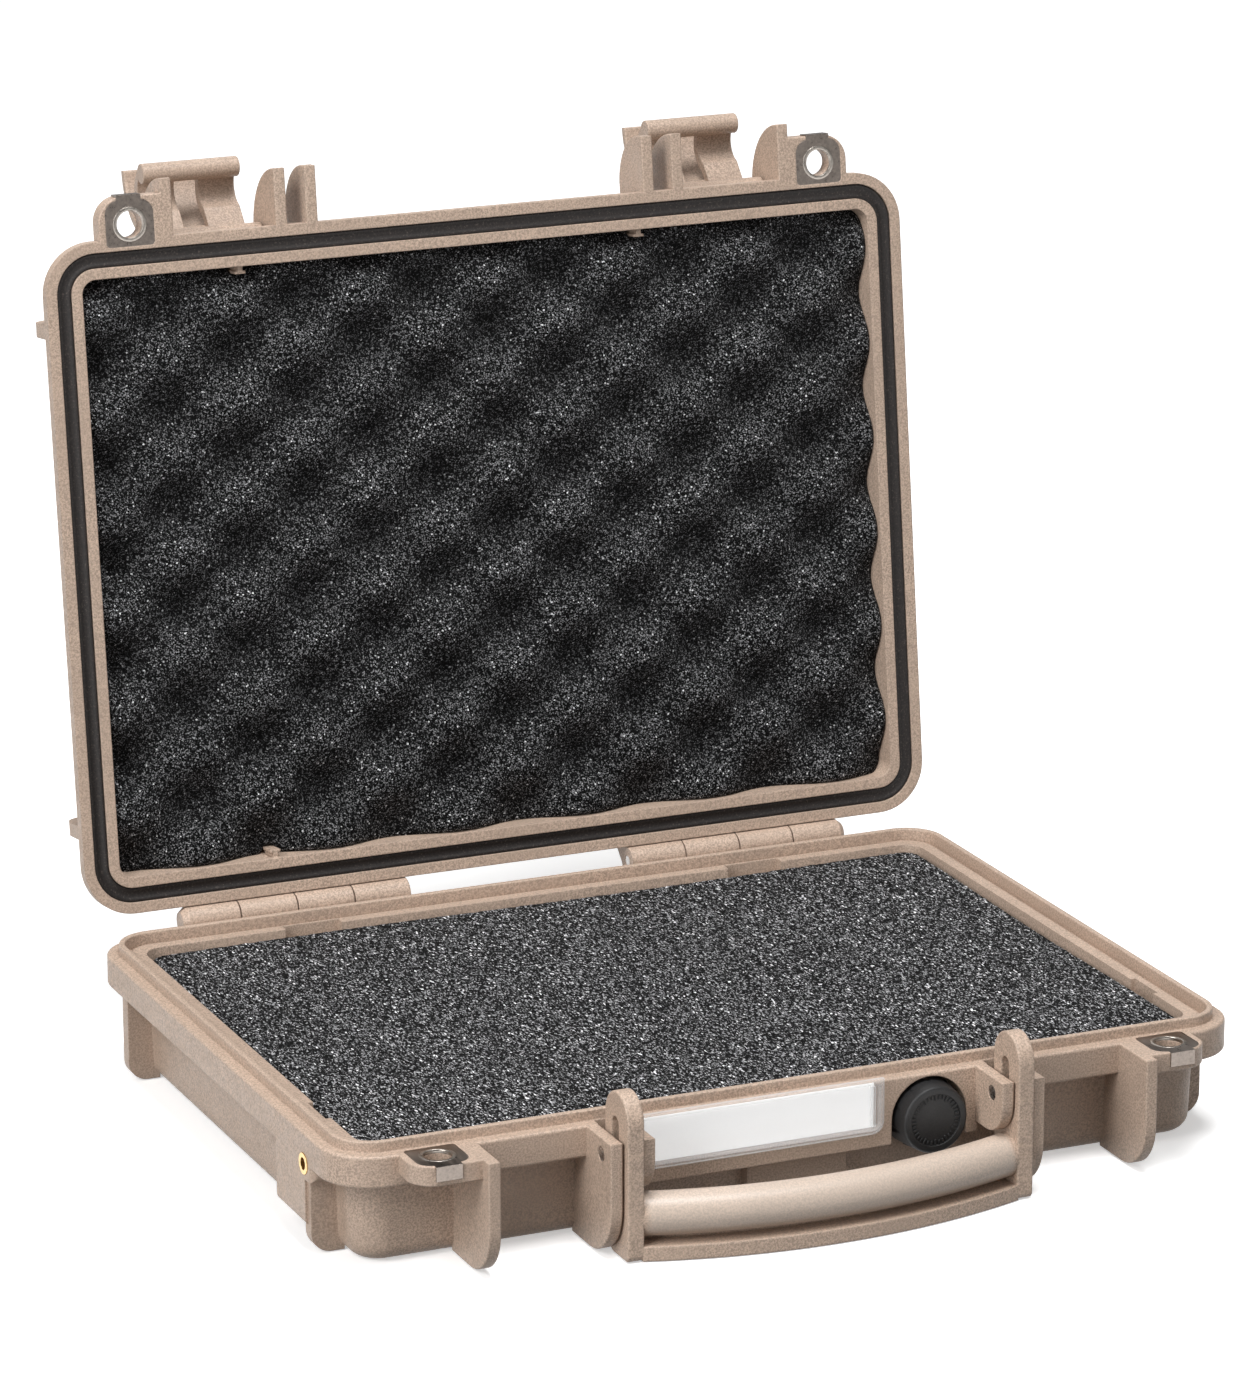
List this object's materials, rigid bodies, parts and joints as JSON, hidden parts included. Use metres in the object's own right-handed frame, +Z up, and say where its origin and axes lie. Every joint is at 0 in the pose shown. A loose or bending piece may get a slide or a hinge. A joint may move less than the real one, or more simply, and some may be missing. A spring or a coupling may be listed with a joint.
{
  "type": "hard equipment case",
  "caption": "Shallow waterproof hard equipment case with a hinged lid, swinging latches, a sliding handle, foam lining and a pressure-release valve.",
  "frame": {"origin": "centre of the base's flat underside", "axes": "+X to the right, -Y to the front where the handle is, +Z up"},
  "size_m": [0.3266, 0.3596, 0.3016],
  "materials": {
    "shell_plastic": "matte",
    "handle_plastic": "matte",
    "latch_plastic": "matte",
    "gasket_rubber": "matte",
    "foam": "matte",
    "lock_steel": "satin",
    "pin_steel": "satin",
    "insert_brass": "satin",
    "knob_plastic": "satin",
    "valve_plastic": "matte",
    "card": "matte",
    "clear_cover": "gloss"
  },
  "bodies": {
    "base": {"base_shell": "shell_plastic", "base_foam": "foam", "base_foam_pad": "foam", "label_card": "card", "label_cover": "clear_cover", "purge_valve_body": "valve_plastic", "purge_valve_seal": "gasket_rubber", "lock_plate_base_left": "lock_steel", "lock_plate_base_right": "lock_steel", "strap_insert_left": "insert_brass", "strap_insert_right": "insert_brass", "hinge_pin_left": "pin_steel", "hinge_pin_right": "pin_steel"},
    "lid": {"lid_shell": "shell_plastic", "lid_gasket": "gasket_rubber", "lid_foam": "foam", "lock_plate_lid_left": "lock_steel", "lock_plate_lid_right": "lock_steel", "latch_pin_left": "pin_steel", "latch_pin_right": "pin_steel"},
    "latch_left": {"latch_left": "latch_plastic"},
    "latch_right": {"latch_right": "latch_plastic"},
    "handle_pins": {"handle_pin_left": "pin_steel", "handle_pin_right": "pin_steel"},
    "handle": {"handle": "handle_plastic"},
    "purge_knob": {"purge_valve_knob": "knob_plastic"}
  },
  "joints": [
    {"name": "lid_hinge", "type": "hinge", "parent": "base", "child": "lid", "pos_m": [0, 0.1235, 0.04195], "axis": [1, 0, 0], "range_deg": [0, 97]},
    {"name": "latch_right_swing", "type": "hinge", "parent": "lid", "child": "latch_right", "pos_m": [0.0966, 0.16587, 0.27704], "axis": [1, 0, 0], "range_deg": [0, 131.9]},
    {"name": "latch_left_swing", "type": "hinge", "parent": "lid", "child": "latch_left", "pos_m": [-0.0966, 0.16587, 0.27704], "axis": [1, 0, 0], "range_deg": [0, 131.9]},
    {"name": "handle_swing", "type": "hinge", "parent": "base", "child": "handle_pins", "pos_m": [0, -0.1296, 0.0349], "axis": [-1, 0, 0], "range_deg": [0, 90]},
    {"name": "handle_slide", "type": "slide", "parent": "handle_pins", "child": "handle", "axis": [0, 0, -1], "range_m": [0, 0.0094]},
    {"name": "knob_turn", "type": "hinge", "parent": "base", "child": "purge_knob", "pos_m": [0.045, -0.12, 0.0257], "axis": [0, -1, 0], "range_deg": [0, 270]}
  ],
  "couplings": [
    {"joint": "handle_slide", "follows": "handle_swing", "m_per_rad": 0.0059841}
  ]
}
